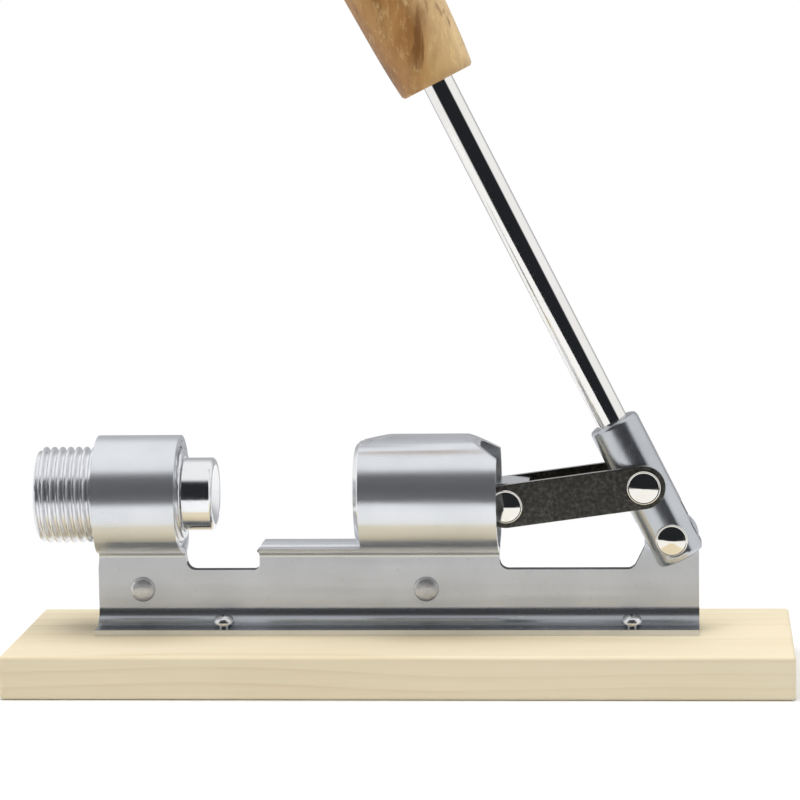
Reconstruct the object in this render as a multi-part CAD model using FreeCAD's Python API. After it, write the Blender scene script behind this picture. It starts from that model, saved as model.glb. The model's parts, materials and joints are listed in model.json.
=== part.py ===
import FreeCAD, Part
import math
import os

# Lever nutcracker press, millimetres.
# X runs along the board to the lever's end, Y runs to the rear, Z is up.
# The origin is the centre of the board's underside.

# Board
board_length = 250.0
board_width = 80.0
board_thickness = 14.0
board_edge_round = 1.2

# Pressed sheet frame: two mirrored halves, back to back on one upright plane
plane_y = 5.0
sheet = 2.0
frame_left = -99.8
frame_right = 95.4
flange_reach = 12.5
flange_bend = 5.7
fold_radius = 1.5
sleeve_inner_radius = 17.3
sleeve_axis_height = 44.5
web_height = 19.8
ledge_height = 28.0

left_sleeve_length = 27.7
left_notch_length = 25.3
ledge_length = 33.8
right_sleeve_length = 44.2
ear_foot_width = 21.1
ear_radius = 8.7
ear_shoulder_drop = 3.0
notch_fillet = 3.0
ledge_corner = 1.0
ledge_foot_round = 2.0
notch_slant = 1.8
notch_slant_height = 11.2
left_setback = 0.9
near_cut_length = 10.5
near_cut_height = 3.0
far_cut_length = 10.4
far_cut_height = 6.4

# Frame rivets through both webs
rivet_height = 13.4
rivet_radius = 2.3
rivet_head_radius = 4.0
rivet_head_height = 1.5
rivet_head_edge = 0.5
left_rivet_inset = 14.5
right_rivet_inset = 88.1

# Screws through the flanges into the board
screw_offset = 7.6
screw_radius = 1.7
screw_length = 10.0
screw_head_radius = 3.4
screw_head_height = 2.9
screw_slot_width = 0.8
screw_slot_depth = 1.0
screw_slot_length = 3.8
left_screw_inset = 41.6
right_screw_inset = 21.6

# Threaded adjuster and its swivelling anvil
thread_radius = 15.6
thread_pitch = 2.67
thread_depth = 1.35
thread_crest_width = 0.35
adjuster_stand_out = 18.6
adjuster_length = 47.5
adjuster_chamfer = 1.0
ring_inset = 0.2
anvil_radius = 11.9
anvil_length = 9.7
anvil_stem_radius = 5.0
anvil_stem_length = 14.0
anvil_cup_radius = 9.6
anvil_cup_depth = 3.0
anvil_chamfer = 0.8

# Ram
ram_reach = 48.7
ram_tongue_start = 8.2
ram_tongue_end = 7.3
ram_tongue_above = 7.2
ram_tongue_below = 5.9
ram_chamfer = 1.6
ram_cup_radius = 12.6
ram_cup_depth = 3.0

# Lever
pivot_height = 30.1
lever_lean = 26.5
lever_arm = 19.6
boss_radius = 8.2
boss_tail = 7.6
boss_top = 42.0
boss_rim = 1.5
boss_foot_round = 2.0
pin_seat_depth = 0.8
rod_radius = 5.0
rod_seat = 12.0
handle_start = 164.0
handle_length = 105.0
handle_seat = 60.0
handle_mouth_radius = 12.4
handle_low_radius = 14.1
handle_low_height = 25.0
handle_waist_radius = 15.2
handle_waist_height = 50.0
handle_shoulder_radius = 14.0
handle_shoulder_height = 84.0
handle_mouth_round = 0.8

# Links and pins
link_length = 44.5
link_width = 14.0
link_drop = 2.8
pin_radius = 3.0
pin_head_radius = 5.4
pivot_head_radius = 5.15
pin_head_height = 2.2
pin_head_edge = 0.7
pin_head_dish = 1.4

# The ram pin wanders a little in the tongue's open slot as the lever swings
slot_play_along = 0.85
slot_play_up = 1.2

# Clearances
running_fit = 0.08
seat_fit = 0.03
side_gap = 0.3
slot_gap = 0.35
screw_hole_gap = 0.3

# Places worked out from the sizes above
board_top = board_thickness
flange_top = board_top + sheet
bend_outer = flange_bend + sheet
screw_overlap = max(0.0, bend_outer - screw_offset + screw_head_radius)
screw_seat = flange_top + flange_bend - math.sqrt(flange_bend ** 2 - screw_overlap ** 2) + seat_fit
sleeve_radius = sleeve_inner_radius + sheet
sleeve_z = board_top + sleeve_axis_height
sleeve_top = sleeve_z + sleeve_radius
web_z = board_top + web_height
ledge_z = board_top + ledge_height
left_sleeve_end = frame_left + left_sleeve_length
ledge_start = left_sleeve_end + left_notch_length
right_sleeve_start = ledge_start + ledge_length
right_sleeve_end = right_sleeve_start + right_sleeve_length
pivot_x = frame_right - ear_radius
pivot_z = board_top + pivot_height
lean = math.radians(lever_lean)
crank_x = pivot_x - lever_arm * math.sin(lean)
crank_z = pivot_z + lever_arm * math.cos(lean)
ram_pin_z = sleeve_z - link_drop
ram_pin_x = crank_x - math.sqrt(link_length ** 2 - (crank_z - ram_pin_z) ** 2)
ram_front_x = ram_pin_x - ram_reach
pivot_seat = boss_radius - pin_seat_depth
link_inner = boss_radius + side_gap
link_outer = link_inner + sheet
ram_tongue_half_width = link_inner - side_gap
adjuster_left = frame_left - adjuster_stand_out
adjuster_right = adjuster_left + adjuster_length
anvil_back = adjuster_right + side_gap

along_x = FreeCAD.Vector(1, 0, 0)
along_y = FreeCAD.Vector(0, 1, 0)
along_z = FreeCAD.Vector(0, 0, 1)
FRONT = -1
REAR = 1


def rod_along_y(x, z, radius, near, far):
    """Cylinder along Y between two distances from the frame's plane."""
    start = FreeCAD.Vector(x, plane_y + near, z)
    return Part.makeCylinder(radius, far - near, start, along_y)


def rod_along_x(left, right, radius):
    """Cylinder on the sleeves' axis."""
    start = FreeCAD.Vector(left, plane_y, sleeve_z)
    return Part.makeCylinder(radius, right - left, start, along_x)


def box(left, right, near, far, low, high):
    """Box with its depth measured from the frame's plane."""
    start = FreeCAD.Vector(left, plane_y + near, low)
    return Part.makeBox(right - left, far - near, high - low, start)


def spin(points, origin, axis):
    """Solid of revolution of (distance along the axis, radius) points."""
    across = along_y if axis.cross(along_y).Length > 0.5 else along_x
    corners = [origin + axis * reach + across * radius for reach, radius in points]
    face = Part.Face(Part.makePolygon(corners + corners[:1]))
    return face.revolve(origin, axis, 360)


def rounded_outline(corners, near):
    """Closed wire in an upright plane, from (x, z, corner radius) corners."""
    points = [FreeCAD.Vector(x, near, z) for x, z, radius in corners]
    starts = []
    ends = []
    edges = []
    for index, (x, z, radius) in enumerate(corners):
        here = points[index]
        back = (points[index - 1] - here).normalize()
        ahead = (points[(index + 1) % len(points)] - here).normalize()
        half_turn = back.getAngle(ahead) / 2
        cut = radius / math.tan(half_turn)
        starts.append(here + back * cut)
        ends.append(here + ahead * cut)
        if radius > 0:
            middle = (back + ahead).normalize()
            crown = here + middle * (radius / math.sin(half_turn) - radius)
            edges.append(Part.Arc(starts[-1], crown, ends[-1]).toShape())
    for index in range(len(points)):
        start = ends[index]
        end = starts[(index + 1) % len(points)]
        if start.distanceToPoint(end) > 0.001:
            edges.append(Part.makeLine(start, end))
    return Part.Wire(Part.__sortEdges__(edges))


def section_point(depth, height, side):
    return FreeCAD.Vector(frame_left, plane_y + side * depth, height)


def section_arc(depth, height, radius, start, end, side):
    """Arc of the frame's section between two angles in degrees."""
    turn = [math.radians(angle) for angle in (start, (start + end) / 2, end)]
    points = [
        section_point(depth + radius * math.cos(angle), height + radius * math.sin(angle), side)
        for angle in turn
    ]
    return Part.Arc(*points).toShape()


def section_line(first, second, side):
    return Part.makeLine(section_point(*first, side), section_point(*second, side))


def bent_strip(side, upper_edges):
    """Flange and bend, closed above the bend by the given edges."""
    bend_z = board_top + bend_outer
    edges = [
        section_line((flange_reach, board_top), (bend_outer, board_top), side),
        section_arc(bend_outer, bend_z, bend_outer, 270, 180, side),
        *upper_edges,
        section_arc(bend_outer, bend_z, flange_bend, 180, 270, side),
        section_line((bend_outer, flange_top), (flange_reach, flange_top), side),
        section_line((flange_reach, flange_top), (flange_reach, board_top), side),
    ]
    return Part.Face(Part.Wire(Part.__sortEdges__(edges)))


def sleeve_section(side):
    """Flange, bend, web, fold and half sleeve as one strip of sheet."""
    bend_z = board_top + bend_outer
    fold_outer = fold_radius + sheet
    fold_reach = sleeve_radius + fold_radius
    fold_z = sleeve_z - math.sqrt(fold_reach ** 2 - fold_outer ** 2)
    from_fold = math.degrees(math.atan2(sleeve_z - fold_z, -fold_outer))
    from_sleeve = from_fold - 180
    return bent_strip(side, [
        section_line((0, bend_z), (0, fold_z), side),
        section_arc(fold_outer, fold_z, fold_outer, 180, from_fold, side),
        section_arc(0, sleeve_z, sleeve_inner_radius, from_sleeve, 90, side),
        section_line((0, sleeve_z + sleeve_inner_radius), (0, sleeve_top), side),
        section_arc(0, sleeve_z, sleeve_radius, 90, from_sleeve, side),
        section_arc(fold_outer, fold_z, fold_radius, from_fold, 180, side),
        section_line((sheet, fold_z), (sheet, bend_z), side),
    ])


def ear_section(side):
    """Flange, bend and a flat web that carries the lever's ear."""
    bend_z = board_top + bend_outer
    return bent_strip(side, [
        section_line((0, bend_z), (0, sleeve_top), side),
        section_line((0, sleeve_top), (sheet, sleeve_top), side),
        section_line((sheet, sleeve_top), (sheet, bend_z), side),
    ])


def frame_outline():
    """Side view of a half: sleeves, notches, ledge and the lever's ear."""
    over = sleeve_top + 1
    ear_left = pivot_x - ear_radius
    corners = [
        (frame_left, board_top, 0),
        (frame_right, board_top, 0),
        (frame_right, pivot_z + ear_radius, ear_radius),
        (ear_left, pivot_z + ear_radius, ear_radius),
        (ear_left, pivot_z - ear_shoulder_drop, 0),
        (frame_right - ear_foot_width, web_z, notch_fillet),
        (right_sleeve_end, web_z, notch_fillet),
        (right_sleeve_end, sleeve_top - far_cut_height, 0),
        (right_sleeve_end - far_cut_length, sleeve_top, 0),
        (right_sleeve_end - far_cut_length, over, 0),
        (right_sleeve_start + near_cut_length, over, 0),
        (right_sleeve_start + near_cut_length, sleeve_top, 0),
        (right_sleeve_start, sleeve_top - near_cut_height, 0),
        (right_sleeve_start, ledge_z, ledge_corner),
        (ledge_start, ledge_z, ledge_corner),
        (ledge_start, web_z, ledge_foot_round),
        (left_sleeve_end + notch_slant, web_z, notch_fillet),
        (left_sleeve_end, web_z + notch_slant_height, notch_fillet),
        (left_sleeve_end, over, 0),
        (frame_left + left_setback, over, 0),
        (frame_left + left_setback, web_z + notch_slant_height, notch_fillet),
        (frame_left, web_z, notch_fillet),
    ]
    return Part.Face(rounded_outline(corners, plane_y))


def frame_half(side):
    change_over = (right_sleeve_end + frame_right - ear_foot_width) / 2
    half = sleeve_section(side).extrude(along_x * (change_over - frame_left))
    flat = ear_section(side).extrude(along_x * (frame_right - change_over))
    flat.translate(along_x * (change_over - frame_left))
    half = half.fuse(flat).removeSplitter()
    half = half.common(frame_outline().extrude(along_y * side * (sleeve_radius + 1)))
    half = half.cut(rod_along_y(pivot_x, pivot_z, pin_radius + running_fit, -sheet, sheet))
    for x, z in rivet_places():
        half = half.cut(rod_along_y(x, z, rivet_radius + seat_fit, -sheet, sheet))
    for x in screw_places():
        low = FreeCAD.Vector(x, plane_y + side * screw_offset, board_top)
        reach = screw_seat - board_top
        half = half.cut(Part.makeCylinder(screw_radius + screw_hole_gap, reach, low, along_z))
    return half


def rivet_places():
    z = board_top + rivet_height
    return [(frame_left + left_rivet_inset, z), (frame_right - right_rivet_inset, z)]


def screw_places():
    return [frame_left + left_screw_inset, frame_right - right_screw_inset]


def base_board():
    start = FreeCAD.Vector(-board_length / 2, -board_width / 2, 0)
    board = Part.makeBox(board_length, board_width, board_thickness, start)
    board = board.makeFillet(board_edge_round, board.Edges)
    depth = screw_length - sheet
    for x in screw_places():
        for side in (FRONT, REAR):
            low = FreeCAD.Vector(x, plane_y + side * screw_offset, board_top - depth - side_gap)
            pilot = Part.makeCylinder(screw_radius + seat_fit, depth + side_gap, low, along_z)
            board = board.cut(pilot)
    return board


def base_screw(x, side):
    """Round-head screw with a crossed recess, its head riding on the edge of the bend."""
    foot = FreeCAD.Vector(x, plane_y + side * screw_offset, screw_seat)
    point = screw_radius * 1.5
    tip = flange_top - screw_length - screw_seat
    profile = [
        (tip, 0),
        (tip + point, screw_radius),
        (0, screw_radius),
        (0, screw_head_radius),
        (screw_head_height * 0.30, screw_head_radius),
        (screw_head_height * 0.65, screw_head_radius * 0.87),
        (screw_head_height * 0.90, screw_head_radius * 0.58),
        (screw_head_height, screw_head_radius * 0.25),
        (screw_head_height, 0),
    ]
    screw = spin(profile, foot, along_z)
    low = foot.z + screw_head_height - screw_slot_depth
    for length, width in ((screw_slot_length, screw_slot_width), (screw_slot_width, screw_slot_length)):
        corner = FreeCAD.Vector(x - length / 2, foot.y - width / 2, low)
        screw = screw.cut(Part.makeBox(length, width, screw_slot_depth, corner))
    return screw


def frame_rivet(x, z):
    """Rivet through both webs, its heads low domes on a short edge."""
    rivet = rod_along_y(x, z, rivet_radius, -sheet, sheet)
    crown = rivet_head_height - rivet_head_edge
    profile = [
        (0, 0),
        (0, rivet_head_radius),
        (rivet_head_edge, rivet_head_radius),
        (rivet_head_edge + crown * 0.5, rivet_head_radius * 0.72),
        (rivet_head_edge + crown * 0.85, rivet_head_radius * 0.4),
        (rivet_head_height, 0),
    ]
    for side in (FRONT, REAR):
        seat = FreeCAD.Vector(x, plane_y + side * sheet, z)
        rivet = rivet.fuse(spin(profile, seat, along_y * side))
    return rivet.removeSplitter()


def threaded_ring():
    left = frame_left + left_setback + ring_inset
    right = left_sleeve_end - ring_inset
    ring = rod_along_x(left, right, sleeve_inner_radius - seat_fit)
    return ring.cut(rod_along_x(left, right, thread_radius + running_fit))


def adjuster_barrel():
    """Barrel with a right-hand V thread over its whole length, its ends coned."""
    root = thread_radius - thread_depth
    outside = thread_radius + thread_depth
    ends = [
        (0, 0),
        (0, root),
        (2 * adjuster_chamfer, outside),
        (adjuster_length - 2 * adjuster_chamfer, outside),
        (adjuster_length, root),
        (adjuster_length, 0),
    ]
    envelope = spin(ends, FreeCAD.Vector(adjuster_left, plane_y, sleeve_z), along_x)
    core = rod_along_x(adjuster_left, adjuster_right, root)
    stem_room = rod_along_x(
        anvil_back - anvil_stem_length - side_gap, adjuster_right, anvil_stem_radius + running_fit
    )
    return core.fuse(thread_ridge().common(envelope)).cut(stem_room)


def thread_ridge():
    """Helical ridge with narrow crests, wound about Z and laid along X."""
    sunk = 0.3
    overlap = 0.02
    helix = Part.makeHelix(thread_pitch, adjuster_length + 2 * thread_pitch, thread_radius)
    crest = thread_crest_width / 2
    foot = (thread_pitch - thread_crest_width) / 2 + overlap
    corners = [
        FreeCAD.Vector(thread_radius - thread_depth - sunk, 0, -foot),
        FreeCAD.Vector(thread_radius, 0, -crest),
        FreeCAD.Vector(thread_radius, 0, crest),
        FreeCAD.Vector(thread_radius - thread_depth - sunk, 0, foot),
    ]
    profile = Part.makePolygon(corners + corners[:1])
    ridge = Part.Wire(helix.Edges).makePipeShell([profile], True, True)
    ridge.rotate(FreeCAD.Vector(0, 0, 0), along_y, 90)
    ridge.translate(FreeCAD.Vector(adjuster_left - thread_pitch, plane_y, sleeve_z))
    return ridge


def cupped_end(front, direction, radius, chamfer, cup_radius, cup_depth, length):
    """Round head whose face is a shallow cone-sided cup."""
    profile = [
        (0, 0),
        (0, radius),
        (length - chamfer, radius),
        (length, radius - chamfer),
        (length, cup_radius),
        (length - cup_depth, cup_radius * 0.3),
        (length - cup_depth, 0),
    ]
    origin = FreeCAD.Vector(front - direction * length, plane_y, sleeve_z)
    return spin(profile, origin, along_x * direction)


def anvil_nose():
    front = anvil_back + anvil_length
    nose = cupped_end(
        front, 1, anvil_radius, anvil_chamfer, anvil_cup_radius, anvil_cup_depth, anvil_length
    )
    return nose.fuse(rod_along_x(anvil_back - anvil_stem_length, anvil_back, anvil_stem_radius))


def ram():
    """Round ram with a flat tongue behind it, whose slot for the link pin is open below."""
    radius = sleeve_inner_radius - running_fit
    length = ram_reach - ram_tongue_start
    body = cupped_end(ram_front_x, -1, radius, ram_chamfer, ram_cup_radius, ram_cup_depth, length)
    tongue = box(
        ram_pin_x - ram_tongue_start - 1,
        ram_pin_x + ram_tongue_end,
        -ram_tongue_half_width,
        ram_tongue_half_width,
        ram_pin_z - ram_tongue_below,
        ram_pin_z + ram_tongue_above,
    )
    half_width = pin_radius + slot_play_along + slot_gap
    low = ram_pin_z - ram_tongue_below - 1
    high = ram_pin_z + pin_radius + slot_play_up + slot_gap
    corner = half_width - 0.5
    corners = [
        (ram_pin_x - half_width, low, 0),
        (ram_pin_x + half_width, low, 0),
        (ram_pin_x + half_width, high, corner),
        (ram_pin_x - half_width, high, corner),
    ]
    slot = Part.Face(rounded_outline(corners, plane_y - ram_tongue_half_width - 1))
    slot = slot.extrude(along_y * 2 * (ram_tongue_half_width + 1))
    return body.fuse(tongue).cut(slot).removeSplitter()


def on_lever(shape):
    """Turn a shape made upright about the pivot into the lever's lean."""
    shape.rotate(FreeCAD.Vector(0, 0, 0), FreeCAD.Vector(0, -1, 0), lever_lean)
    shape.translate(FreeCAD.Vector(pivot_x, plane_y, pivot_z))
    return shape


def lever_boss():
    profile = [
        (-boss_tail, 0),
        (-boss_tail, boss_radius - boss_foot_round),
        (boss_foot_round * 0.3 - boss_tail, boss_radius - boss_foot_round * 0.3),
        (boss_foot_round - boss_tail, boss_radius),
        (boss_top - boss_rim, boss_radius),
        (boss_top - boss_rim * 0.3, boss_radius - boss_rim * 0.3),
        (boss_top, boss_radius - boss_rim),
        (boss_top, 0),
    ]
    origin = FreeCAD.Vector(0, 0, 0)
    boss = spin(profile, origin, along_z)
    for side in (FRONT, REAR):
        start = FreeCAD.Vector(0, side * pivot_seat, 0)
        radius = pivot_head_radius + side_gap
        boss = boss.cut(Part.makeCylinder(radius, boss_radius, start, along_y * side))
    gap = sheet + side_gap
    top = ear_radius + 2 * side_gap
    corner = FreeCAD.Vector(-boss_radius, -gap, -boss_tail)
    boss = boss.cut(Part.makeBox(2 * boss_radius, 2 * gap, top + boss_tail, corner))
    seat = FreeCAD.Vector(0, 0, boss_top - rod_seat)
    boss = boss.cut(Part.makeCylinder(rod_radius + seat_fit, rod_seat, seat, along_z))
    for reach in (0, lever_arm):
        start = FreeCAD.Vector(0, -boss_radius, reach)
        hole = Part.makeCylinder(pin_radius + seat_fit, 2 * boss_radius, start, along_y)
        boss = boss.cut(hole)
    return on_lever(boss)


def lever_rod():
    bottom = boss_top - rod_seat
    length = handle_start + handle_seat - bottom
    rod = Part.makeCylinder(rod_radius, length, FreeCAD.Vector(0, 0, bottom), along_z)
    return on_lever(rod)


def handle_grip():
    """Turned grip: one smooth curve from the mouth over the belly to the crown."""
    swell = Part.BSplineCurve()
    points = [
        (handle_mouth_radius, handle_mouth_round),
        (handle_low_radius, handle_low_height),
        (handle_waist_radius, handle_waist_height),
        (handle_shoulder_radius, handle_shoulder_height),
        (0, handle_length),
    ]
    spots = [FreeCAD.Vector(radius, 0, handle_start + height) for radius, height in points]
    swell.interpolate(
        Points=spots,
        InitialTangent=FreeCAD.Vector(0.13, 0, 1),
        FinalTangent=FreeCAD.Vector(-1, 0, 0),
    )
    foot = FreeCAD.Vector(0, 0, handle_start)
    rim = FreeCAD.Vector(handle_mouth_radius - handle_mouth_round, 0, handle_start)
    edges = [
        Part.makeLine(foot, rim),
        Part.makeLine(rim, spots[0]),
        swell.toShape(),
        Part.makeLine(spots[-1], foot),
    ]
    grip = Part.Face(Part.Wire(edges)).revolve(foot, along_z, 360)
    bore = Part.makeCylinder(rod_radius + seat_fit, handle_seat + side_gap, foot, along_z)
    return on_lever(grip.cut(bore))


def link_plate(side):
    """Flat link with round ends between the lever's pin and the ram's pin."""
    lift = crank_z - ram_pin_z
    tilt = math.degrees(math.atan2(lift, crank_x - ram_pin_x))
    half = link_width / 2
    corners = [
        (-half, -half, half),
        (link_length + half, -half, half),
        (link_length + half, half, half),
        (-half, half, half),
    ]
    near, far = sorted((side * link_inner, side * link_outer))
    plate = Part.Face(rounded_outline(corners, near)).extrude(along_y * (far - near))
    plate.rotate(FreeCAD.Vector(0, 0, 0), FreeCAD.Vector(0, -1, 0), tilt)
    plate.translate(FreeCAD.Vector(ram_pin_x, plane_y, ram_pin_z))
    plate = plate.cut(rod_along_y(crank_x, crank_z, pin_radius + running_fit, near, far))
    return plate.cut(rod_along_y(ram_pin_x, ram_pin_z, pin_radius + seat_fit, near, far))


def headed_pin(x, z, seat, head_radius):
    """Pin with a turned, shallow cone head at each end, on seats from the plane."""
    pin = rod_along_y(x, z, pin_radius, -seat, seat)
    for side in (FRONT, REAR):
        profile = [
            (0, 0),
            (0, head_radius),
            (pin_head_edge, head_radius),
            (pin_head_height, pin_head_dish),
            (pin_head_height, 0),
        ]
        origin = FreeCAD.Vector(x, plane_y + side * seat, z)
        pin = pin.fuse(spin(profile, origin, along_y * side))
    return pin.removeSplitter()


left_screw, right_screw = screw_places()
left_rivet, right_rivet = rivet_places()
nodes = {
    "base_board": base_board(),
    "frame_half_front": frame_half(FRONT),
    "frame_half_rear": frame_half(REAR),
    "frame_rivet_left": frame_rivet(*left_rivet),
    "frame_rivet_right": frame_rivet(*right_rivet),
    "base_screw_front_left": base_screw(left_screw, FRONT),
    "base_screw_front_right": base_screw(right_screw, FRONT),
    "base_screw_rear_left": base_screw(left_screw, REAR),
    "base_screw_rear_right": base_screw(right_screw, REAR),
    "threaded_ring": threaded_ring(),
    "adjuster_barrel": adjuster_barrel(),
    "anvil_nose": anvil_nose(),
    "ram": ram(),
    "lever_boss": lever_boss(),
    "lever_rod": lever_rod(),
    "handle_grip": handle_grip(),
    "lever_pivot_pin": headed_pin(pivot_x, pivot_z, pivot_seat, pivot_head_radius),
    "link_plate_front": link_plate(FRONT),
    "link_plate_rear": link_plate(REAR),
    "link_lever_pin": headed_pin(crank_x, crank_z, link_outer + side_gap, pin_head_radius),
    "link_ram_pin": headed_pin(ram_pin_x, ram_pin_z, link_outer + seat_fit, pin_head_radius),
}

os.makedirs("parts", exist_ok=True)
for name, shape in nodes.items():
    print(name, len(shape.Solids), shape.isValid(), round(shape.Volume, 1))
    shape.exportStep("parts/" + name + ".step")
print("pivot", pivot_x, pivot_z, "crank", crank_x, crank_z, "ram pin", ram_pin_x, ram_pin_z)
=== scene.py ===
import json
import math

import bmesh
import bpy
from mathutils import Matrix, Vector


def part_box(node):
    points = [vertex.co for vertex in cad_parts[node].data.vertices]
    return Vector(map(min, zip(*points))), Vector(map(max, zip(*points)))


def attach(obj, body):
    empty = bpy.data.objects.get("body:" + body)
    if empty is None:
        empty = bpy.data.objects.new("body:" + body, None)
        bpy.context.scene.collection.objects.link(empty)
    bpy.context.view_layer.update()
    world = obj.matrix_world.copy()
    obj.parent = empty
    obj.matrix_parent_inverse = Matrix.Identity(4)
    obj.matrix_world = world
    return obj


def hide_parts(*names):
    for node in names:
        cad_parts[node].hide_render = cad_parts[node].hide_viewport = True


# A lever nutcracker press, in metres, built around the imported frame
MM = 0.001
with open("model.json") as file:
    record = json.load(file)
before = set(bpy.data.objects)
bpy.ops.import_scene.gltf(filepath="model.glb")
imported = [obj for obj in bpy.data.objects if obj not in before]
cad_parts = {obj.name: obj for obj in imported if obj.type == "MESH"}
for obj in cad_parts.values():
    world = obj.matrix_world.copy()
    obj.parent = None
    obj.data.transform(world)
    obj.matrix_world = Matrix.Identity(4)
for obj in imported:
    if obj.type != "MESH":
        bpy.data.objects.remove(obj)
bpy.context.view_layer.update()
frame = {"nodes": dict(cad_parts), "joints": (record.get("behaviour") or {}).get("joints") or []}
nodes = frame["nodes"]

# Camera: the photograph's viewpoint
CAMERA_PLACE = Vector((92.49, -1085.65, 230.30)) * MM
CAMERA_YAW = math.radians(-4.864)
CAMERA_PITCH = math.radians(-7.358)
CAMERA_ROLL = math.radians(-0.973)
CAMERA_LENS = 154.1
SENSOR_WIDTH = 36.0
VIEW_LIMIT = 50.0

# Rounding of edges and curves
EDGE_BREAK = 0.28 * MM
BEVEL_STEPS = 2
BEVEL_SHAPE = 0.6
WELD_GAP = 0.002 * MM
FLAT_ANGLE = math.radians(1.0)
SHARP_ANGLE = math.radians(40)
SMOOTH_ANGLE = math.radians(32)
NORMAL_WEIGHT = 80
ROUND_STEPS = 96

# Pressed sheet
SHEET_THICKNESS = 2.0 * MM
FLANGE_BEND = 5.7 * MM
LEDGE_HEIGHT = 28.0 * MM
SATIN_FADE = 4.0 * MM

# Adjuster thread
THREAD_PITCH = 2.67 * MM
THREAD_DEPTH = 1.35 * MM
THREAD_CONE = 1.5 * MM
CREST_SHARE = 0.16
THREAD_STEPS = 120
PITCH_STEPS = 12

# Studio: lamps have a name, a place, two sides and a power in watts
WHITE = (1.0, 1.0, 1.0, 1.0)
DARK_CARD = (0.016, 0.018, 0.022, 1.0)
GREY_CARD = (0.48, 0.485, 0.50, 1.0)
FLOOR_WHITE = (0.80, 0.80, 0.80, 1.0)
FLOOR_RADIUS = 0.33
LAMP_TARGET = Vector((0, 0, 0.05))
LAMPS = (
    ("top_light", Vector((0.0, -0.10, 1.5)), (1.4, 1.0), 21.0),
    ("left_light", Vector((-1.3, -0.9, 0.9)), (0.9, 0.9), 4.9),
    ("right_light", Vector((1.4, -0.7, 0.8)), (0.8, 0.8), 3.0),
)


def joint_point(name):
    for joint in frame["joints"]:
        if joint["name"] == name:
            return Vector(joint["pos_m"])
    raise KeyError(name)


def centre_of(node):
    """Middle of a node's box."""
    low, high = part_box(node)
    return (low + high) / 2


# Places taken from the frame
X_AXIS = Vector((1, 0, 0))
Y_AXIS = Vector((0, 1, 0))
PIVOT = joint_point("lever_pivot")
CRANK = joint_point("link_pivot")
LEVER_AXIS = (CRANK - PIVOT).normalized()
LEVER_LEAN = (0, math.atan2(-LEVER_AXIS.x, LEVER_AXIS.z), 0)
SLEEVE_AXIS = Vector((0.0, *centre_of("ram").yz))
FRAME_LEFT, FRAME_RIGHT = (corner.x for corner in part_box("frame_half_front"))
BOARD_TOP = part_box("base_board")[1].z
FLANGE_TOP = BOARD_TOP + SHEET_THICKNESS
BEND_TOP = FLANGE_TOP + FLANGE_BEND
LEDGE_TOP = BOARD_TOP + LEDGE_HEIGHT
WEB_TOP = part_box("threaded_ring")[0].z - SATIN_FADE


# Mesh helpers

def span(node, origin, axis):
    """Lowest and highest reach of a node along an axis, and its largest distance from it."""
    reaches = []
    distances = []
    for vertex in nodes[node].data.vertices:
        offset = vertex.co - origin
        reach = offset.dot(axis)
        reaches.append(reach)
        distances.append((offset - axis * reach).length)
    return min(reaches), max(reaches), max(distances)


def turns(steps):
    """Angles of evenly spaced points round a circle."""
    return [math.tau * step / steps for step in range(steps)]


def quarter(steps):
    """Angles of evenly spaced points over a quarter of a circle, both ends included."""
    return [math.pi / 2 * step / steps for step in range(steps + 1)]


def finish_mesh(name, mesh, material, body, replaced):
    """Make a smooth-shaded object of a mesh, and hand it to the frame."""
    mesh.polygons.foreach_set("use_smooth", [True] * len(mesh.polygons))
    mesh.set_sharp_from_angle(angle=SMOOTH_ANGLE)
    mesh.materials.clear()
    mesh.materials.append(material)
    piece = bpy.data.objects.new(name, mesh)
    bpy.context.scene.collection.objects.link(piece)
    steady = piece.modifiers.new("steady_normals", "WEIGHTED_NORMAL")
    steady.keep_sharp = True
    steady.weight = NORMAL_WEIGHT
    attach(piece, body)
    if replaced:
        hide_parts(replaced)
    return piece


def break_edges(shape, width):
    """Bevel the sharp edges of an edit mesh."""
    sharp = [edge for edge in shape.edges if edge.calc_face_angle(0.0) > SHARP_ANGLE]
    bmesh.ops.bevel(
        shape, geom=sharp, offset=width, segments=BEVEL_STEPS, profile=BEVEL_SHAPE,
        affect="EDGES", clamp_overlap=True,
    )


def closed_mesh(name, shape):
    """Turn an edit mesh into a mesh, and free it."""
    mesh = bpy.data.meshes.new(name)
    shape.to_mesh(mesh)
    shape.free()
    return mesh


def softened(name, node, material, body, width=EDGE_BREAK):
    """A node's shape with its flat faces joined and its sharp edges broken."""
    shape = bmesh.new()
    shape.from_mesh(nodes[node].data)
    bmesh.ops.remove_doubles(shape, verts=shape.verts, dist=WELD_GAP)
    bmesh.ops.dissolve_limit(
        shape, angle_limit=FLAT_ANGLE, verts=shape.verts, edges=shape.edges,
        use_dissolve_boundaries=False,
    )
    break_edges(shape, width)
    return finish_mesh(name, closed_mesh(name, shape), material, body, node)


def second_material(piece, material, chosen):
    """Give the faces that the test picks a material of their own."""
    mesh = piece.data
    mesh.materials.append(material)
    for polygon in mesh.polygons:
        if chosen(polygon):
            polygon.material_index = 1


def band(first, second):
    """Faces between two rings of vertices, either of which may be a single vertex."""
    steps = max(len(first), len(second))
    faces = []
    for step in range(steps):
        after = (step + 1) % steps
        corners = (
            first[step % len(first)], first[after % len(first)],
            second[after % len(second)], second[step % len(second)],
        )
        face = list(dict.fromkeys(corners))
        if len(face) > 2:
            faces.append(face)
    return faces


def skinned(name, rings):
    """A mesh over rings of points, each joined to the next; they run up the axis that they circle."""
    verts = []
    numbered = []
    for ring in rings:
        numbered.append(range(len(verts), len(verts) + len(ring)))
        verts += ring
    faces = []
    for first, second in zip(numbered, numbered[1:]):
        faces += band(first, second)
    mesh = bpy.data.meshes.new(name)
    mesh.from_pydata(verts, [], faces)
    mesh.validate()
    return mesh


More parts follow.
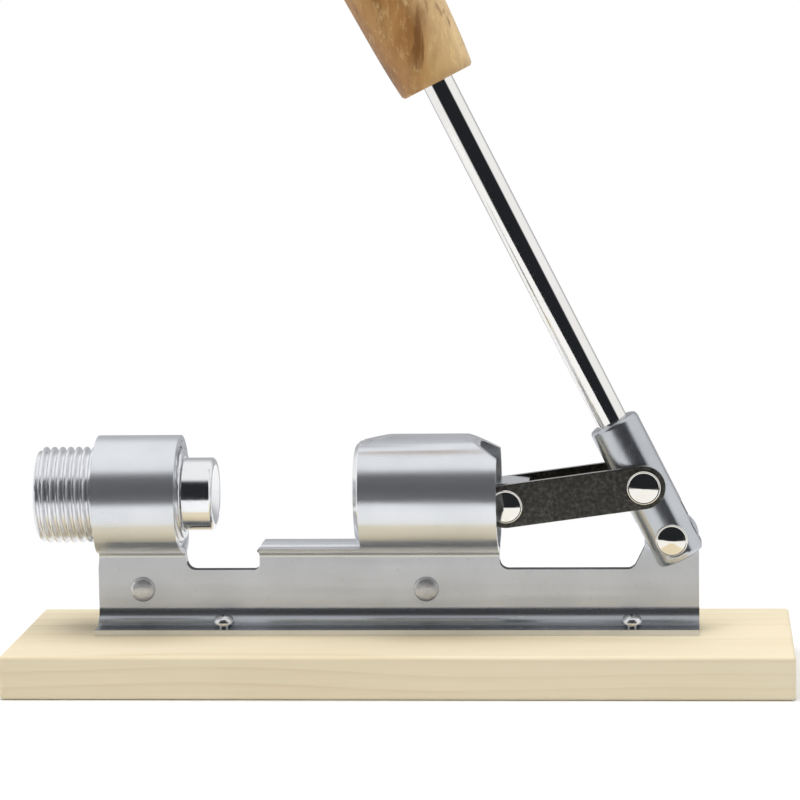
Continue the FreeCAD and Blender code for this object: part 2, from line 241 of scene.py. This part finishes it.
def turned(name, profile, origin, axis, material, body, replaced):
    """A turned piece: (reach along the axis, radius) points, listed up it or down, spun round it."""
    side = axis.orthogonal().normalized()
    other = axis.cross(side)
    if profile[0][0] > profile[-1][0]:
        profile = profile[::-1]
    rings = []
    for reach, radius in profile:
        centre = origin + axis * reach
        rings.append([
            centre + radius * (side * math.cos(turn) + other * math.sin(turn))
            for turn in turns(ROUND_STEPS if radius > 0 else 1)
        ])
    return finish_mesh(name, skinned(name, rings), material, body, replaced)


def rounded(profile, radius, steps=4):
    """A profile with every corner but its two ends turned into a small curve."""
    longest_cut = 0.45
    result = [profile[0]]
    for before, here, after in zip(profile, profile[1:], profile[2:]):
        corner = Vector(here)
        back = Vector(before) - corner
        ahead = Vector(after) - corner
        cut = min(radius, back.length * longest_cut, ahead.length * longest_cut)
        start = corner + back.normalized() * cut
        end = corner + ahead.normalized() * cut
        for step in range(steps + 1):
            part = step / steps
            point = start * (1 - part) ** 2 + corner * 2 * part * (1 - part) + end * part ** 2
            result.append(tuple(point))
    result.append(profile[-1])
    return result


# Material helpers

class Nodes:
    """Short calls that add nodes to a shader tree and link them."""

    def __init__(self, tree):
        self.tree = tree

    def put(self, value, socket):
        """Link an output to a socket, or set the socket to a plain value."""
        if isinstance(value, bpy.types.NodeSocket):
            self.tree.links.new(value, socket)
        else:
            socket.default_value = value

    def add(self, kind, inputs=None, **settings):
        node = self.tree.nodes.new(kind)
        for key, value in settings.items():
            setattr(node, key, value)
        for key, value in (inputs or {}).items():
            self.put(value, node.inputs[key])
        return node

    def math(self, operation, *values):
        return self.add("ShaderNodeMath", dict(enumerate(values)), operation=operation).outputs[0]

    def vector_math(self, operation, *values):
        node = self.add("ShaderNodeVectorMath", dict(enumerate(values)), operation=operation)
        return node.outputs["Value" if operation in ("LENGTH", "DOT_PRODUCT") else "Vector"]

    def remap(self, value, low, high, to_low=0.0, to_high=1.0, interpolation="LINEAR"):
        return self.add("ShaderNodeMapRange", {
            "Value": value, "From Min": low, "From Max": high, "To Min": to_low, "To Max": to_high,
        }, interpolation_type=interpolation).outputs["Result"]

    def blend(self, factor, first, second):
        """A mix of two colours."""
        node = self.add("ShaderNodeMix", {0: factor, 6: first, 7: second}, data_type="RGBA")
        return node.outputs[2]

    def mix_shaders(self, factor, first, second):
        return self.add("ShaderNodeMixShader", {0: factor, 1: first, 2: second}).outputs[0]


class Surface(Nodes):
    """A material on the standard shader, with its textures in the object's own metres."""

    def __init__(self, name, metallic, roughness, color=WHITE):
        self.material = bpy.data.materials.new(name)
        self.material.use_nodes = True
        super().__init__(self.material.node_tree)
        self.shader = self.tree.nodes["Principled BSDF"]
        self.feed("Metallic", metallic)
        self.feed("Roughness", roughness)
        self.feed("Base Color", color)

    def feed(self, name, value):
        """Link or set one of the shader's own sockets."""
        self.put(value, self.shader.inputs[name])

    def fed(self, name):
        """The output that a socket of the shader is linked to."""
        return self.shader.inputs[name].links[0].from_socket

    def place(self, stretch=(1, 1, 1), rotation=(0, 0, 0), shift=(0, 0, 0)):
        """Object coordinates, turned and stretched."""
        coordinates = self.add("ShaderNodeTexCoord").outputs["Object"]
        mapping = self.add("ShaderNodeMapping", {
            "Vector": coordinates, "Scale": stretch, "Rotation": rotation, "Location": shift,
        })
        return mapping.outputs["Vector"]

    def noise(self, stretch, detail, roughness=0.5, distortion=0.0,
              rotation=(0, 0, 0), shift=(0, 0, 0)):
        """Noise with so many cells to the metre along each axis."""
        return self.add("ShaderNodeTexNoise", {
            "Vector": self.place(stretch, rotation, shift), "Scale": 1.0, "Detail": detail,
            "Roughness": roughness, "Distortion": distortion,
        }).outputs["Fac"]

    def spread(self, noise, low, high):
        """The usual range of a noise, spread over low to high."""
        return self.remap(noise, 0.3, 0.7, low, high)

    def ramp(self, value, stops):
        node = self.add("ShaderNodeValToRGB", {"Fac": value})
        elements = node.color_ramp.elements
        while len(elements) < len(stops):
            elements.new(0.5)
        for element, (position, color) in zip(elements, stops):
            element.position = position
            element.color = (*color, 1.0)
        return node.outputs["Color"]

    def bump(self, height, distance, strength):
        node = self.add("ShaderNodeBump", {
            "Height": height, "Distance": distance, "Strength": strength,
        })
        self.feed("Normal", node.outputs["Normal"])


# Materials

def pine():
    """Pale planed pine: long rings along X, fine darker fibres and paler clouding."""
    pale = (0.72, 0.635, 0.455)
    ring_tones = [
        (0.0, pale), (0.62, (0.69, 0.59, 0.405)), (0.90, (0.60, 0.47, 0.285)), (1.0, pale),
    ]
    fibre_brown = (0.55, 0.41, 0.23, 1)
    cloud_cream = (0.81, 0.735, 0.57, 1)
    heart = (0, 0.052, 0.165)
    waviness = 12 * MM
    rings_per_metre = 210.0
    look = Surface("pine_board", 0.0, 0.55)
    warp = look.noise((5, 22, 22), 2.0)
    from_heart = look.vector_math("MULTIPLY", look.place(shift=heart), (0, 1, 1))
    radius = look.vector_math("LENGTH", from_heart)
    wavy = look.math("MULTIPLY_ADD", warp, waviness, radius)
    ring = look.math("FRACT", look.math("MULTIPLY", wavy, rings_per_metre))
    fibre = look.noise((30, 900, 900), 4.0, 0.6)
    cloud = look.noise((9, 30, 30), 3.0)
    color = look.blend(0.42, (*pale, 1), look.ramp(ring, ring_tones))
    color = look.blend(look.spread(fibre, 0.0, 0.16), color, fibre_brown)
    color = look.blend(look.remap(cloud, 0.35, 0.7, 0.0, 0.35), color, cloud_cream)
    look.feed("Base Color", color)
    look.feed("Roughness", look.spread(fibre, 0.48, 0.66))
    look.feed("Specular IOR Level", 0.3)
    look.bump(look.math("ADD", fibre, look.math("MULTIPLY", ring, 0.5)), 0.08 * MM, 0.5)
    return look.material


def hardwood():
    """Oiled rubberwood: golden tan, a painted highlight that pales one side, brown marks and gold
    flecks.
    """
    heartwood_tones = [
        (0.30, (0.24, 0.098, 0.022)), (0.50, (0.40, 0.185, 0.048)), (0.72, (0.57, 0.33, 0.11)),
    ]
    side_highlight_cream = (0.80, 0.61, 0.32, 1)
    grain_brown = (0.27, 0.12, 0.034, 1)
    mark_brown = (0.17, 0.064, 0.014, 1)
    fleck_gold = (0.78, 0.57, 0.26, 1)
    side_highlight_start = 8 * MM
    side_highlight_fade = 13 * MM
    waviness = 16 * MM
    look = Surface("grip_wood", 0.0, 0.42)
    grain = look.noise((230, 230, 26), 4.0, 0.6, 0.6, LEVER_LEAN)
    flecks = look.noise((560, 560, 190), 5.0, 0.7, 0.5, LEVER_LEAN, (3, 1, 2))
    marks = look.noise((190, 190, 48), 3.0, 0.55, 0.4, LEVER_LEAN, (6, 2, 8))
    broad = look.noise((60, 60, 26), 3.0, 0.5, 0.0, LEVER_LEAN, (1, 5, 3))
    across = Vector((LEVER_AXIS.z, 0, -LEVER_AXIS.x))
    sideways = look.vector_math("DOT_PRODUCT", look.place(), across)
    wavy = look.math("MULTIPLY_ADD", broad, waviness, sideways)
    # Painted highlight: the grip turns paler towards one side, across the lever
    edge = PIVOT.dot(across) + side_highlight_start
    side_highlight = look.remap(wavy, edge, edge + side_highlight_fade, 0.0, 0.75)
    color = look.blend(side_highlight, look.ramp(broad, heartwood_tones), side_highlight_cream)
    color = look.blend(look.remap(grain, 0.48, 0.70, 0.0, 0.45), color, grain_brown)
    color = look.blend(look.remap(marks, 0.60, 0.70, 0.0, 0.70), color, mark_brown)
    color = look.blend(look.remap(flecks, 0.54, 0.70, 0.0, 0.55), color, fleck_gold)
    look.feed("Base Color", color)
    look.feed("Roughness", look.spread(flecks, 0.36, 0.52))
    look.feed("Coat Weight", 0.06)
    look.feed("Coat Roughness", 0.3)
    look.bump(look.math("ADD", flecks, grain), 0.12 * MM, 0.35)
    return look.material


def metal(name, light, dark, rough, stretch, share, depth, metallic=1.0, rotation=(0, 0, 0)):
    """Plated or turned steel: brushed grain, faint clouding and small specks of wear.

    The roughness runs between the two of rough. The grain is stretched by stretch, has that share
    in the roughness, and is that deep.
    """
    speck_grey = (0.30, 0.29, 0.28, 1)
    look = Surface(name, metallic, sum(rough) / 2)
    grain = look.noise(stretch, 4.0, 0.6, rotation=rotation)
    cloud = look.noise((45, 45, 45), 3.0, rotation=rotation)
    specks = look.noise((900, 900, 900), 2.0, 0.6, rotation=rotation, shift=(2, 7, 4))
    color = look.blend(look.spread(cloud, 0.0, 1.0), (*light, 1), (*dark, 1))
    color = look.blend(look.remap(specks, 0.66, 0.80, 0.0, 0.35), color, speck_grey)
    look.feed("Base Color", color)
    mixed = look.math("MULTIPLY_ADD", grain, share, look.math("MULTIPLY", cloud, 1 - share))
    look.feed("Roughness", look.spread(mixed, *rough))
    look.bump(grain, depth, 0.6)
    return look


def sheet_metal():
    """Nickel-plated pressed sheet: burnished sleeves, satin webs, and painted shade that darkens the
    flange and the bend.
    """
    # Painted shade: the grey that the flange and the bend are darkened towards
    painted_shade_grey = (0.20, 0.215, 0.235, 1)
    web_satin = 0.16
    flange_painted_shade = 0.80
    bend_painted_shade = 0.46
    half_edge = 0.3 * MM
    look = metal("plated_sheet", (0.74, 0.76, 0.795), (0.665, 0.685, 0.72), (0.19, 0.29),
                 (14, 420, 420), 0.6, 0.02 * MM, metallic=0.88)
    height = look.add("ShaderNodeSeparateXYZ", {"Vector": look.place()}).outputs["Z"]
    above_bend = look.remap(height, BEND_TOP - half_edge, BEND_TOP + half_edge)
    satin = look.math("MULTIPLY", above_bend,
                      look.remap(height, WEB_TOP, WEB_TOP + SATIN_FADE, web_satin, 0.0))
    on_top = look.remap(height, FLANGE_TOP - 0.15 * MM, FLANGE_TOP - 0.05 * MM)
    in_bend = look.math("MULTIPLY", on_top, look.math("SUBTRACT", 1.0, above_bend))
    # Painted shade over the flange top and the bend, strongest at the flange
    painted_shade = look.math("MULTIPLY", in_bend,
                       look.remap(height, FLANGE_TOP, BEND_TOP, flange_painted_shade, bend_painted_shade))
    look.feed("Base Color", look.blend(painted_shade, look.fed("Base Color"), painted_shade_grey))
    look.feed("Roughness", look.math("ADD", look.fed("Roughness"), satin))
    return look.material


def shaded_cut_edge_metal():
    """Cut edges of the sheet, coloured near black as painted shade."""
    # Painted shade: the near-black colour of the cut edges
    look = metal("painted_shade_cut_edge", (0.075, 0.080, 0.090), (0.045, 0.048, 0.055), (0.42, 0.58),
                 (60, 900, 900), 0.6, 0.03 * MM, metallic=0.4)
    look.feed("Specular IOR Level", 0.15)
    return look.material


def link_metal():
    """Dark tumbled plate with a fine pebbled face."""
    look = Surface("tumbled_plate", 1.0, 0.36)
    pebble = look.noise((760, 760, 760), 5.0, 0.65)
    fine = look.noise((1900, 1900, 1900), 3.0, 0.6, shift=(5, 1, 2))
    look.feed("Base Color", look.ramp(pebble, [
        (0.30, (0.045, 0.044, 0.039)), (0.52, (0.090, 0.087, 0.077)), (0.75, (0.19, 0.186, 0.17)),
    ]))
    look.feed("Roughness", look.spread(fine, 0.28, 0.46))
    look.bump(look.math("ADD", pebble, look.math("MULTIPLY", fine, 0.4)), 0.07 * MM, 0.8)
    return look.material


PINE = pine()
HARDWOOD = hardwood()
SHEET = sheet_metal()
PAINTED_SHADE_EDGE = shaded_cut_edge_metal()
LINK = link_metal()
# Painted highlight: a light copy of the plate metal on the link rims, standing in for their bevel
# highlights
LINK_RIM_HIGHLIGHT = metal("link_rim_painted_highlight", (0.74, 0.73, 0.70), (0.62, 0.61, 0.58), (0.16, 0.28),
                  (500, 500, 500), 0.5, 0.03 * MM).material
TURNED = metal("turned_steel", (0.86, 0.87, 0.88), (0.79, 0.80, 0.82), (0.10, 0.20),
               (520, 60, 60), 0.7, 0.015 * MM).material
THREAD = metal("thread_steel", (0.84, 0.85, 0.87), (0.74, 0.75, 0.78), (0.16, 0.28),
               (520, 60, 60), 0.7, 0.02 * MM, metallic=0.9).material
BOSS = metal("boss_steel", (0.56, 0.58, 0.61), (0.46, 0.48, 0.51), (0.20, 0.30),
             (300, 300, 40), 0.6, 0.03 * MM, metallic=0.96, rotation=LEVER_LEAN).material
MIRROR = metal("bright_rod", (0.86, 0.85, 0.83), (0.82, 0.81, 0.79), (0.05, 0.09),
               (300, 300, 8), 0.5, 0.001 * MM, rotation=LEVER_LEAN).material
PIN = metal("bright_pin", (0.85, 0.83, 0.78), (0.80, 0.78, 0.73), (0.07, 0.13),
            (300, 300, 300), 0.5, 0.006 * MM).material
FASTENER = metal("fastener_steel", (0.82, 0.83, 0.84), (0.64, 0.65, 0.67), (0.16, 0.30),
                 (700, 700, 700), 0.5, 0.06 * MM).material
RIVET = metal("rivet_steel", (0.80, 0.81, 0.82), (0.50, 0.51, 0.54), (0.26, 0.46),
              (620, 620, 620), 0.5, 0.4 * MM, metallic=0.85).material


# Pieces on the frame

def dress_board():
    """The board keeps its CAD mesh."""
    board = nodes["base_board"]
    board.data.materials.clear()
    board.data.materials.append(PINE)


def is_cut_edge(polygon):
    """Whether a face is one of the web's sheared edges."""
    above = 0.2 * MM
    from_ends = 1 * MM
    centre = polygon.center
    across = abs(centre.y - SLEEVE_AXIS.y) < SHEET_THICKNESS
    upright = BEND_TOP + above < centre.z < LEDGE_TOP + above
    inside = FRAME_LEFT + from_ends < centre.x < FRAME_RIGHT - from_ends
    return across and upright and inside and abs(polygon.normal.y) < 0.35


def make_frame_halves():
    for end in ("front", "rear"):
        half = softened("sheet_half_" + end, "frame_half_" + end, SHEET, "frame",
                        0.42 * MM)
        # The web's cut edges take the near-black painted shade material
        second_material(half, PAINTED_SHADE_EDGE, is_cut_edge)


def both_ends(profile):
    """A headed pin's profile: one head's points, and the same ones mirrored."""
    return profile + [(-reach, radius) for reach, radius in reversed(profile)]


def make_rivets():
    """Rivets with a low dome at each end."""
    head = 1.5 * MM
    edge = 0.5 * MM
    shank = 2.3 * MM
    dome_share = 0.985
    for end in ("left", "right"):
        node = "frame_rivet_" + end
        middle = centre_of(node)
        low, _, radius = span(node, middle, Y_AXIS)
        dome = [
            (low + (head - edge) * (1 - math.cos(angle)), radius * math.sin(angle) * dome_share)
            for angle in quarter(10)
        ]
        profile = both_ends(dome + [(low + head, radius), (low + head, shank)])
        turned("domed_rivet_" + end, profile, middle, Y_AXIS, RIVET,
               "frame", node)


def make_screws():
    for row in ("front", "rear"):
        for end in ("left", "right"):
            node = f"base_screw_{row}_{end}"
            softened(f"round_screw_{row}_{end}", node, FASTENER, "frame", 0.15 * MM)


def make_ring():
    softened("adjuster_ring", "threaded_ring", SHEET, "frame")


# Pieces that move

def groove_depth(along, length, share):
    """Depth of the barrel's thread at a place along it and a share of a turn round it."""
    phase = (along / THREAD_PITCH - share) % 1.0
    away = abs(phase - 0.5) * 2
    flank = min(1.0, max(0.0, (away - CREST_SHARE) / (1 - 2 * CREST_SHARE)))
    groove = THREAD_DEPTH * (0.5 - 0.5 * math.cos(math.pi * flank))
    from_end = min(along, length - along)
    return max(groove, THREAD_DEPTH * max(0.0, 1 - from_end / THREAD_CONE))


def sleeve_ring(x, radii):
    """Points round the sleeve's axis, one for each radius."""
    return [
        (x, SLEEVE_AXIS.y + radius * math.cos(turn), SLEEVE_AXIS.z + radius * math.sin(turn))
        for radius, turn in zip(radii, turns(len(radii)))
    ]


def make_adjuster():
    """Barrel with a rounded right-hand thread, its ends coned down to the root and recessed."""
    rim_share = 0.86
    recess_share = 0.80
    recess_depth = 0.7 * MM
    low, high, outer = span("adjuster_barrel", SLEEVE_AXIS, X_AXIS)
    length = high - low
    rows = int(length / THREAD_PITCH * PITCH_STEPS)
    root = outer - THREAD_DEPTH
    rim = [root * rim_share] * THREAD_STEPS
    recess = [root * recess_share] * THREAD_STEPS
    floor_low = low + recess_depth
    floor_high = high - recess_depth
    rings = [sleeve_ring(floor_low, [0.0]), sleeve_ring(floor_low, recess), sleeve_ring(low, rim)]
    for row in range(rows + 1):
        along = length * row / rows
        rings.append(sleeve_ring(low + along, [
            outer - groove_depth(along, length, step / THREAD_STEPS) for step in range(THREAD_STEPS)
        ]))
    rings += [sleeve_ring(high, rim), sleeve_ring(floor_high, recess), sleeve_ring(floor_high, [0.0])]
    finish_mesh("threaded_barrel", skinned("threaded_barrel", rings), THREAD,
                "adjuster", "adjuster_barrel")


def cupped(front, length, radius, chamfer, cup_radius, cup_depth):
    """Profile of a round head from its shallow cup back to its rear face."""
    cup_floor = cup_radius * 0.3
    return rounded([
        (front - cup_depth, 0), (front - cup_depth, cup_floor), (front, cup_radius),
        (front, radius - chamfer), (front - chamfer, radius), (front - length, radius),
    ], 0.35 * MM)


def make_anvil():
    """Cup-faced nose on its stem."""
    head = 9.7 * MM
    stem = 5.0 * MM
    low, high, radius = span("anvil_nose", SLEEVE_AXIS, X_AXIS)
    profile = cupped(high, head, radius, chamfer=0.8 * MM, cup_radius=9.6 * MM, cup_depth=3.0 * MM)
    profile += [(high - head, stem), (low, stem), (low, 0)]
    turned("anvil_cup", profile, SLEEVE_AXIS, X_AXIS, TURNED,
           "anvil", "anvil_nose")


def make_ram_body(back):
    """Round ram with a cup in front, and its rear face at the given place."""
    low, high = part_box("ram")
    radius = (high.z - low.z) / 2
    profile = cupped(-low.x, back - low.x, radius,
                     chamfer=1.6 * MM, cup_radius=12.6 * MM, cup_depth=3.0 * MM)
    profile += [(-back, 0)]
    turned("ram_body", profile, SLEEVE_AXIS, -X_AXIS, TURNED,
           "ram", "ram")


def make_ram_tongue(back, pin):
    """Flat tongue from the ram's rear face, with a slot for the link pin, open below."""
    half_depth = 8.2 * MM
    half_slot = 4.2 * MM
    slot_corner = half_slot - 0.5 * MM
    buried = 1 * MM
    front = back - buried
    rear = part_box("ram")[1].x
    top = pin.z + 7.2 * MM
    bottom = pin.z - 5.9 * MM
    slot_top = pin.z + 4.55 * MM
    crown = [
        (pin.x - half_slot + slot_corner * (1 - math.cos(angle)),
         slot_top - slot_corner * (1 - math.sin(angle)))
        for angle in quarter(8)
    ]
    mirrored = [(2 * pin.x - x, z) for x, z in reversed(crown)]
    outline = [(front, bottom), (pin.x - half_slot, bottom), *crown, *mirrored,
               (pin.x + half_slot, bottom), (rear, bottom), (rear, top), (front, top)]
    shape = bmesh.new()
    face = shape.faces.new([
        shape.verts.new((x, SLEEVE_AXIS.y - half_depth, z)) for x, z in outline
    ])
    grown = bmesh.ops.extrude_face_region(shape, geom=[face])["geom"]
    moved = [item for item in grown if isinstance(item, bmesh.types.BMVert)]
    bmesh.ops.translate(shape, vec=(0, 2 * half_depth, 0), verts=moved)
    bmesh.ops.recalc_face_normals(shape, faces=shape.faces)
    break_edges(shape, 0.35 * MM)
    finish_mesh("ram_tongue", closed_mesh("ram_tongue", shape), TURNED,
                "ram", None)


def make_ram():
    pin = centre_of("link_ram_pin")
    back = pin.x - 8.2 * MM
    make_ram_body(back)
    make_ram_tongue(back, pin)


def make_boss():
    softened("lever_foot", "lever_boss", BOSS, "lever", 0.45 * MM)


def make_rod():
    """Bright rod, in short lengths that keep its reflections smooth."""
    lengths = 24
    low, high, radius = span("lever_rod", PIVOT, LEVER_AXIS)
    reaches = [low + (high - low) * step / lengths for step in range(lengths + 1)]
    profile = [(low, 0), *((reach, radius) for reach in reaches), (high, 0)]
    turned("bright_lever_rod", rounded(profile, 0.3 * MM), PIVOT, LEVER_AXIS, MIRROR,
           "lever", "lever_rod")


def make_grip():
    softened("wooden_grip", "handle_grip", HARDWOOD, "lever", 0.5 * MM)


def make_pins():
    """Pins whose heads are shallow turned cones with a raised rim."""
    head = 2.2 * MM
    edge = 0.7 * MM
    shank = 3.0 * MM
    cone_share = 0.88
    rim_share = 0.94
    tip_share = 0.12
    for node, name, body in (
        ("lever_pivot_pin", "pivot_pin", "lever"),
        ("link_lever_pin", "crank_pin", "lever"),
        ("link_ram_pin", "ram_pin", "links"),
    ):
        middle = centre_of(node)
        low, _, radius = span(node, middle, Y_AXIS)
        brim = low + head - edge
        front = [
            (low, 0), (low + 0.05 * MM, radius * tip_share), (brim, radius * cone_share),
            (brim - 0.10 * MM, radius * rim_share), (brim + 0.15 * MM, radius),
            (low + head, radius), (low + head, shank),
        ]
        turned(name, rounded(both_ends(front), 0.12 * MM, 3), middle, Y_AXIS, PIN,
               body, node)


def is_link_edge(polygon):
    """Whether a face is on the rim of a link plate."""
    return abs(polygon.normal.y) < 0.9


def make_links():
    for end in ("front", "rear"):
        link = softened("side_link_" + end, "link_plate_" + end, LINK, "links",
                        0.35 * MM)
        # The rims get the painted highlight material
        second_material(link, LINK_RIM_HIGHLIGHT, is_link_edge)


dress_board()
make_frame_halves()
make_rivets()
make_screws()
make_ring()
make_adjuster()
make_anvil()
make_ram()
make_boss()
make_rod()
make_grip()
make_pins()
make_links()


# Studio

def make_floor():
    """A round white table top, a hair below the board, that melts into the white behind it."""
    below = -0.05 * MM
    corners = [
        (FLOOR_RADIUS * math.cos(turn), FLOOR_RADIUS * math.sin(turn), below)
        for turn in turns(ROUND_STEPS)
    ]
    mesh = bpy.data.meshes.new("studio_floor")
    mesh.from_pydata(corners, [], [tuple(range(ROUND_STEPS))])
    look = Surface("studio_white", 0.0, 0.9, FLOOR_WHITE)
    look.feed("Specular IOR Level", 0.0)
    distance = look.vector_math("LENGTH", look.place())
    fade = look.remap(distance, FLOOR_RADIUS * 0.45, FLOOR_RADIUS * 0.95)
    seen = look.add("ShaderNodeLightPath").outputs["Is Camera Ray"]
    white = look.add("ShaderNodeEmission", {"Color": WHITE, "Strength": 1.0}).outputs[0]
    melted = look.mix_shaders(look.math("MULTIPLY", fade, seen), look.shader.outputs[0], white)
    look.put(melted, look.tree.nodes["Material Output"].inputs["Surface"])
    mesh.materials.append(look.material)
    floor = bpy.data.objects.new("studio_floor", mesh)
    bpy.context.scene.collection.objects.link(floor)


def make_lamp(name, place, sides, power):
    """A rectangular lamp that lights the press but isn't mirrored in it."""
    lamp = bpy.data.lights.new(name, "AREA")
    lamp.shape = "RECTANGLE"
    lamp.size, lamp.size_y = sides
    lamp.energy = power
    lit = bpy.data.objects.new(name, lamp)
    lit.location = place
    lit.rotation_euler = (LAMP_TARGET - place).to_track_quat("-Z", "Y").to_euler()
    lit.visible_glossy = False
    bpy.context.scene.collection.objects.link(lit)


def make_world():
    """White behind everything; the metal mirrors a dark zone in front and a grey one at the rear."""
    dark_centre = Vector((0.05, -0.98, 0.05)).normalized()
    dark_width = (0.80, 1.0, 1.0)
    dark_edge = (0.58, 0.74)
    grey_edge = (0.54, 0.92)
    soft_strength = 0.50
    world = bpy.data.worlds.new("studio_world")
    bpy.context.scene.world = world
    world.use_nodes = True
    world.node_tree.nodes.clear()
    sky = Nodes(world.node_tree)
    ray = sky.add("ShaderNodeLightPath").outputs
    direction = sky.add("ShaderNodeTexCoord").outputs["Generated"]
    squeezed = sky.vector_math("NORMALIZE", sky.vector_math("MULTIPLY", direction, dark_width))
    ahead = sky.vector_math("DOT_PRODUCT", squeezed, dark_centre)
    darkness = sky.remap(ahead, *dark_edge, interpolation="SMOOTHSTEP")
    rearward = sky.add("ShaderNodeSeparateXYZ", {"Vector": direction}).outputs["Y"]
    greyness = sky.remap(rearward, *grey_edge, interpolation="SMOOTHSTEP")
    mirrored = sky.blend(darkness, sky.blend(greyness, WHITE, GREY_CARD), DARK_CARD)
    soft = sky.add("ShaderNodeBackground", {"Color": WHITE, "Strength": soft_strength}).outputs[0]
    studio = sky.add("ShaderNodeBackground", {"Color": mirrored}).outputs[0]
    shown = sky.add("ShaderNodeBackground", {"Color": WHITE}).outputs[0]
    with_gloss = sky.mix_shaders(ray["Is Glossy Ray"], soft, studio)
    straight = sky.math("MAXIMUM", ray["Is Camera Ray"], ray["Is Transmission Ray"])
    final = sky.mix_shaders(straight, with_gloss, shown)
    sky.add("ShaderNodeOutputWorld", {"Surface": final})


def make_camera():
    """The photograph's camera, with no shift."""
    forward = Vector((
        math.sin(CAMERA_YAW) * math.cos(CAMERA_PITCH),
        math.cos(CAMERA_YAW) * math.cos(CAMERA_PITCH),
        math.sin(CAMERA_PITCH),
    ))
    level = Vector((math.cos(CAMERA_YAW), -math.sin(CAMERA_YAW), 0))
    upward = level.cross(forward)
    right = level * math.cos(CAMERA_ROLL) + upward * math.sin(CAMERA_ROLL)
    up = upward * math.cos(CAMERA_ROLL) - level * math.sin(CAMERA_ROLL)
    turn = Matrix((right, up, -forward)).transposed().to_4x4()
    lens = bpy.data.cameras.new("photo_camera")
    lens.sensor_fit = "HORIZONTAL"
    lens.sensor_width = SENSOR_WIDTH
    lens.lens = CAMERA_LENS
    lens.clip_end = VIEW_LIMIT
    camera = bpy.data.objects.new("photo_camera", lens)
    camera.matrix_world = Matrix.Translation(CAMERA_PLACE) @ turn
    bpy.context.scene.collection.objects.link(camera)
    bpy.context.scene.camera = camera


make_floor()
for lamp_facts in LAMPS:
    make_lamp(*lamp_facts)
make_world()
make_camera()
bpy.context.scene.view_settings.view_transform = "Standard"
